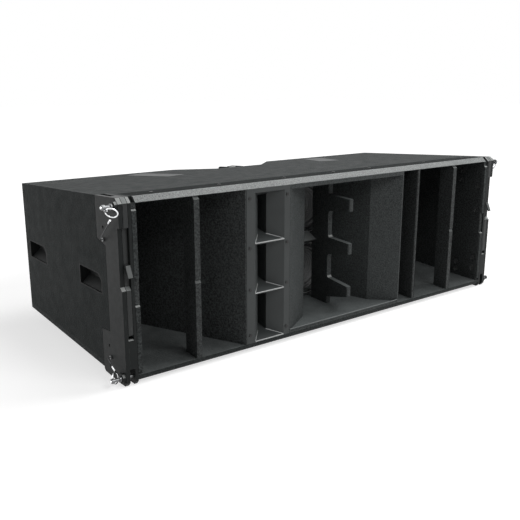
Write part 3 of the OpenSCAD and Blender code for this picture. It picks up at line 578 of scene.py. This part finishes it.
def cone_profile(reach, cap, depth, ribs):
    """A driver's face from its middle to its rim, seen from the back of the baffle, in millimetres:
    a domed cap, a ribbed cone and a half-round surround."""
    roll = reach * 0.085
    inner = reach - 2.2 * roll - 4
    points = [(depth - cap * 0.42 * math.cos(math.radians(a)), max(0.4, cap * math.sin(math.radians(a))))
              for a in range(0, 91, 10)]
    steps = 40
    for i in range(1, steps + 1):
        t = i / steps
        r = cap + 1 + (inner - cap - 1) * t
        wave = 0.45 * math.sin(2 * math.pi * ribs * t) * min(1, 6 * t, 6 * (1 - t))
        points.append((depth + 1.5 + (5 - depth - 1.5) * (0.75 * t + 0.25 * t * t) + wave, r))
    points += [(5, inner + 1.5)]
    for degrees in range(0, 181, 15):
        a = math.radians(degrees)
        points.append((5 - (roll + 1) * math.sin(a), inner + 2 + roll - roll * math.cos(a)))
    points += [(5, reach - 1), (7, reach - 1)]
    return points


def driver_cones(name, places, reach, cap, depth, ribs, material="cone"):
    front = cone_profile(reach, cap, depth, ribs)
    back = [(depth + 9, 0.4), (depth + 9, cap + 2), (9, reach - 5), (8, reach - 1)]
    return turned(name, "cone", places, front + back[::-1], sides=72, angle=40, material=material)


def woofer_place(side):
    k, x, y = WOOFERS[side]
    return at(k * x, y, 0), Vector((-k * math.cos(BAFFLE_TURN), math.sin(BAFFLE_TURN), 0))


WOOFER_PLACES = [woofer_place("left"), woofer_place("right")]
MID_PLACES = [(at(MID_X, MID_DRIVER_Y, k * MID_DRIVER_Z), Vector((0, 1, 0))) for k in (-1, 1)]
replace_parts(driver_cones("woofer_faces", WOOFER_PLACES, 120, 32, 26, 9), "woofer_cones")
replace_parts(driver_cones("mid_faces", MID_PLACES, 64, 20, 14, 5, "mid_cone"), "mid_cones")
BEZEL_FORWARD, BEZEL_R, BEZEL_ROUND = 12, 67.5, 3.2
BEZEL_PROFILE = (
    [(0.2, BEZEL_R - BEZEL_ROUND)]
    + arc((-0.3, BEZEL_R), BEZEL_ROUND, -90, 90, 8)[::-1]
    + [(0.2, BEZEL_R + BEZEL_ROUND)]
)
BEZEL_PLACES = [(centre - Vector((0, BEZEL_FORWARD * MM, 0)), axis) for centre, axis in MID_PLACES]
turned("mid_bezels", "driver_frame", BEZEL_PLACES, BEZEL_PROFILE, sides=72, closed=True, material="bezel")


# ---- High frequency horn: pale lips along the webs between its cells, coloured as painted highlights ----

HF_MOUTH, HF_THROAT, HF_NECK_Y, HF_PITCH, HF_MIDDLE = (-272.5, -188.5), (-243, -218), 30, 115.5, -3.5


def flare_point(end, t):
    """A point of the flare, from the throat's edge to the mouth's, in X and Y."""
    return Vector((HF_THROAT[end], HF_NECK_Y)).lerp(Vector((HF_MOUTH[end], 0)), t)


def horn_lips():
    """Beads along the front edge of each web and up the corner between the web and the flare, pale as a
    painted highlight.
    """
    lines = []
    for k in (-1.5, -0.5, 0.5):
        z = k * HF_PITCH + HF_MIDDLE + 1.5
        left, right = HF_MOUTH
        lines.append([at(left + (right - left) * i / 12, 1.0, z - 0.9) for i in range(13)])
        for end in (0, 1):
            line = []
            for i in range(11):
                x, y = flare_point(end, i / 10)
                line.append(at(x, y + 0.8, z + y / 3 + 0.2))
            lines.append(line)
    rods("hf_lips_painted_highlight", "hf_horn", lines, 1.5, material="hf_lip_highlight")


horn_lips()


# ---- Mid horn: a pale bead along the front edge of its floor, a painted highlight ----

_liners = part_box("mid_horn_liners")
MID_LIP_Z, MID_LIP_Y, MID_LIP_INSET, MID_LIP_R, MID_LIP_STEPS = -168.9, 0.6, 3, 1.0, 16


def mid_lip_line():
    left = _liners[0].x + MID_LIP_INSET * MM
    width = _liners[1].x - _liners[0].x - 2 * MID_LIP_INSET * MM
    return [
        Vector((left + width * i / MID_LIP_STEPS, FRONT_Y + MID_LIP_Y * MM, MID_Z + MID_LIP_Z * MM))
        for i in range(MID_LIP_STEPS + 1)
    ]


rods("mid_floor_highlight_lip", "horn_wall", [mid_lip_line()], MID_LIP_R, material="floor_lip_highlight")


# ---- Small trim ----

# Blank smooth pads on the top, on its slope: half sizes, middle and turn
TOP_PAD_SIZE, TOP_PAD_MIDDLE, TOP_PAD_TURN, TOP_PAD_CORNER = (32, 73.5), (290, 404), 18.7, 7


def top_z(y):
    return 189.7 - 0.05814 * y


def top_pad(bm, k):
    """Adds one thin pad with round corners."""
    turn = math.radians(-k * TOP_PAD_TURN)
    outline = []
    for quarter, (a, b) in enumerate(((1, 1), (-1, 1), (-1, -1), (1, -1))):
        for i in range(7):
            angle = math.radians(90 * quarter + 15 * i)
            u = a * (TOP_PAD_SIZE[0] - TOP_PAD_CORNER) + TOP_PAD_CORNER * math.cos(angle)
            v = b * (TOP_PAD_SIZE[1] - TOP_PAD_CORNER) + TOP_PAD_CORNER * math.sin(angle)
            outline.append((
                k * TOP_PAD_MIDDLE[0] + u * math.cos(turn) - v * math.sin(turn),
                TOP_PAD_MIDDLE[1] + u * math.sin(turn) + v * math.cos(turn),
            ))
    low, high = ([bm.verts.new(at(x, y, top_z(y) + lift)) for x, y in outline] for lift in (-0.3, 0.5))
    bm.faces.new(low)
    bm.faces.new(high)
    for i in range(len(outline)):
        j = (i + 1) % len(outline)
        bm.faces.new((low[i], low[j], high[j], high[i]))


bm = bmesh.new()
for k in (-1, 1):
    top_pad(bm, k)
finish_as(from_bmesh("top_pads", bm, 40), "cabinet_paint", material="smooth_pad")


# ---- Floor, light and world ----

AMBIENT = 0.13                    # strength of the world as a light
FLOOR_GLOW = (0.66, 1.0)          # what the floor adds where the camera sees it, near and far
GLOW_REACH = (0.85, 1.7)          # the distances in metres between which it rises
FLOOR_COLOR = (0.50, 0.50, 0.50, 1)
FLOOR_HALF, FLOOR_GAP = 14, 0.0005


def seen_directly(tree):
    """1 for what the camera, a mirror or glass sees, 0 for what only lights the object."""
    path = tree.nodes.new("ShaderNodeLightPath")
    total = path.outputs["Is Camera Ray"]
    for name in ("Is Glossy Ray", "Is Transmission Ray"):
        add = tree.nodes.new("ShaderNodeMath")
        add.operation = "MAXIMUM"
        tree.links.new(total, add.inputs[0])
        tree.links.new(path.outputs[name], add.inputs[1])
        total = add.outputs[0]
    return total


def mixed_strength(tree, low, high):
    """A strength that is low for light and high where it is seen directly."""
    mix = tree.nodes.new("ShaderNodeMapRange")
    mix.inputs["To Min"].default_value = low
    mix.inputs["To Max"].default_value = high
    tree.links.new(seen_directly(tree), mix.inputs["Value"])
    return mix.outputs["Result"]


def make_world():
    world = bpy.data.worlds.new("world")
    world.use_nodes = True
    tree = world.node_tree
    back = tree.nodes["Background"]
    back.inputs["Color"].default_value = (1, 1, 1, 1)
    tree.links.new(mixed_strength(tree, AMBIENT, 1.0), back.inputs["Strength"])
    bpy.context.scene.world = world


def make_floor():
    bm = bmesh.new()
    bmesh.ops.create_grid(bm, x_segments=8, y_segments=8, size=FLOOR_HALF)
    floor = from_bmesh("floor", bm)
    floor.location.z = CAD_BOX[0].z - FLOOR_GAP
    mat = bpy.data.materials.new("floor")
    mat.use_nodes = True
    tree = mat.node_tree
    bsdf = tree.nodes["Principled BSDF"]
    bsdf.inputs["Base Color"].default_value = FLOOR_COLOR
    bsdf.inputs["Roughness"].default_value = 0.9
    bsdf.inputs["Specular IOR Level"].default_value = 0.0
    bsdf.inputs["Emission Color"].default_value = (1, 1, 1, 1)
    place = tree.nodes.new("ShaderNodeTexCoord")
    length = tree.nodes.new("ShaderNodeVectorMath")
    length.operation = "LENGTH"
    tree.links.new(place.outputs["Object"], length.inputs[0])
    glow = tree.nodes.new("ShaderNodeMapRange")
    for key, val in zip(("From Min", "From Max", "To Min", "To Max"), (*GLOW_REACH, *FLOOR_GLOW)):
        glow.inputs[key].default_value = val
    tree.links.new(length.outputs["Value"], glow.inputs["Value"])
    both = tree.nodes.new("ShaderNodeMath")
    both.operation = "MULTIPLY"
    tree.links.new(glow.outputs["Result"], both.inputs[0])
    tree.links.new(seen_directly(tree), both.inputs[1])
    tree.links.new(both.outputs[0], bsdf.inputs["Emission Strength"])
    floor.data.materials.append(mat)


def area_light(name, place, target, size, power):
    data = bpy.data.lights.new(name, "AREA")
    data.shape = "RECTANGLE"
    data.size, data.size_y = size
    data.energy = power
    lamp = link(bpy.data.objects.new(name, data))
    lamp.location = place
    lamp.rotation_mode = "QUATERNION"
    lamp.rotation_quaternion = (Vector(target) - Vector(place)).to_track_quat("-Z", "Y")


make_world()
make_floor()
area_light("softbox", (0.85, -0.4, 2.3), (0.0, -0.1, 0.2), (0.9, 2.2), 46)
area_light("front", (0.3, -2.4, 2.3), (0, -0.1, 0.1), (1.8, 1.2), 44)
area_light("side", (-2.6, 0.5, 1.0), (-0.6, 0.1, 0.1), (1.2, 1.2), 7)
